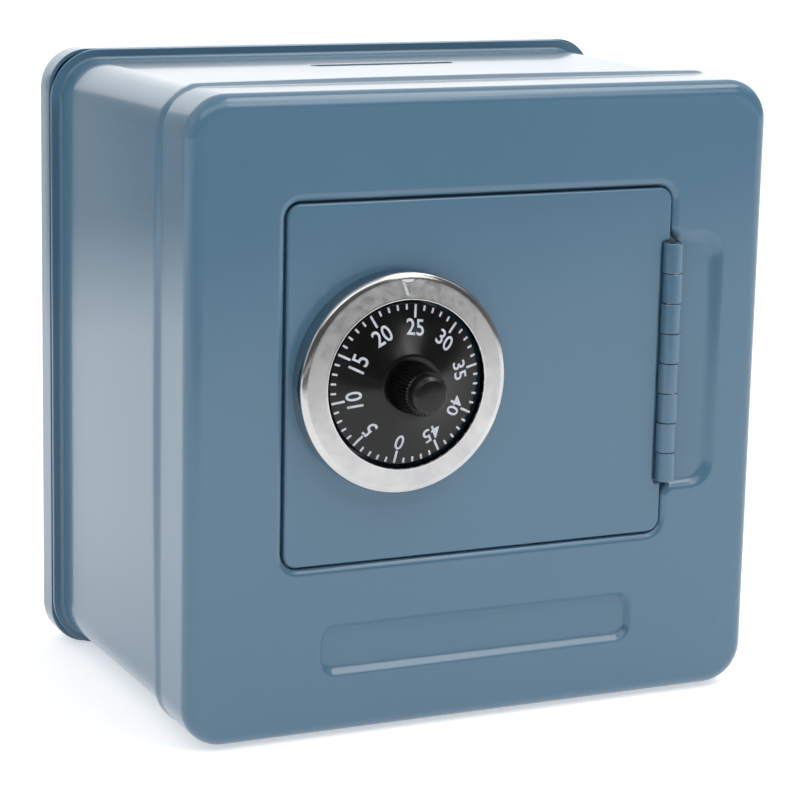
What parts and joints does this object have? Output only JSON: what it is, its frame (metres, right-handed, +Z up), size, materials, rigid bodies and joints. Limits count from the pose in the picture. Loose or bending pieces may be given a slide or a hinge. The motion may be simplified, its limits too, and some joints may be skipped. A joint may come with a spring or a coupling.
{
  "type": "toy safe coin bank",
  "caption": "Square painted steel toy safe with a coin slot in the top, a hinged front door and a dial combination lock.",
  "frame": {"origin": "on the surface it stands on, under the middle of its overall width and depth", "axes": "+X to the right seen from the front, +Y towards the back, +Z up; the door faces -Y"},
  "size_m": [0.1226, 0.0982, 0.1235],
  "materials": {
    "blue_paint": "gloss",
    "stainless_ring": "satin with a polished rolled edge",
    "dial_black": "gloss with white figures",
    "knob_black": "semi-gloss, knurled",
    "zinc_steel": "zinc plated",
    "bright_steel": "bright drawn",
    "brass": "turned"
  },
  "bodies": {
    "case": {"front_cover": "blue_paint", "body_sleeve": "blue_paint", "rear_cover": "blue_paint", "bolt_keeper": "zinc_steel", "hinge_frame_leaf": "blue_paint", "hinge_pin": "bright_steel"},
    "door": {"door_panel": "blue_paint", "hinge_door_leaf": "blue_paint", "lock_ring": "stainless_ring", "lock_case": "zinc_steel", "lock_case_cover": "zinc_steel", "case_screws": "zinc_steel", "case_nuts": "zinc_steel", "cover_screws": "zinc_steel", "spindle_bush": "brass", "bolt_guides": "zinc_steel"},
    "dial": {"dial_plate": "dial_black", "dial_knob": "knob_black", "knob_screw": "zinc_steel", "knob_cap": "knob_black", "spindle": "bright_steel", "drive_cam": "zinc_steel", "wheel_washers": "zinc_steel", "tension_spring": "bright_steel", "spindle_clip": "zinc_steel"},
    "wheel_1": {"tumbler_wheel_1": "brass"},
    "wheel_2": {"tumbler_wheel_2": "brass"},
    "bolt": {"lock_bolt": "zinc_steel"}
  },
  "joints": [
    {"name": "door_swing", "type": "hinge", "parent": "case", "child": "door", "pos_m": [0.0395, -0.03415, 0.0678], "axis": [0, 0, 1], "range_deg": [0, 170]},
    {"name": "dial_turn", "type": "hinge", "parent": "door", "child": "dial", "pos_m": [-0.0187, 0, 0.0684], "axis": [0, -1, 0], "continuous": true},
    {"name": "wheel_1_turn", "type": "hinge", "parent": "door", "child": "wheel_1", "pos_m": [-0.0187, 0, 0.0684], "axis": [0, -1, 0], "continuous": true},
    {"name": "wheel_2_turn", "type": "hinge", "parent": "door", "child": "wheel_2", "pos_m": [-0.0187, 0, 0.0684], "axis": [0, -1, 0], "continuous": true},
    {"name": "bolt_slide", "type": "slide", "parent": "door", "child": "bolt", "axis": [-1, 0, 0], "range_m": [0, 0.004]}
  ],
  "couplings": [
    {"joint": "wheel_1_turn", "follows": "dial_turn", "ratio": 1},
    {"joint": "wheel_2_turn", "follows": "dial_turn", "ratio": 1}
  ]
}
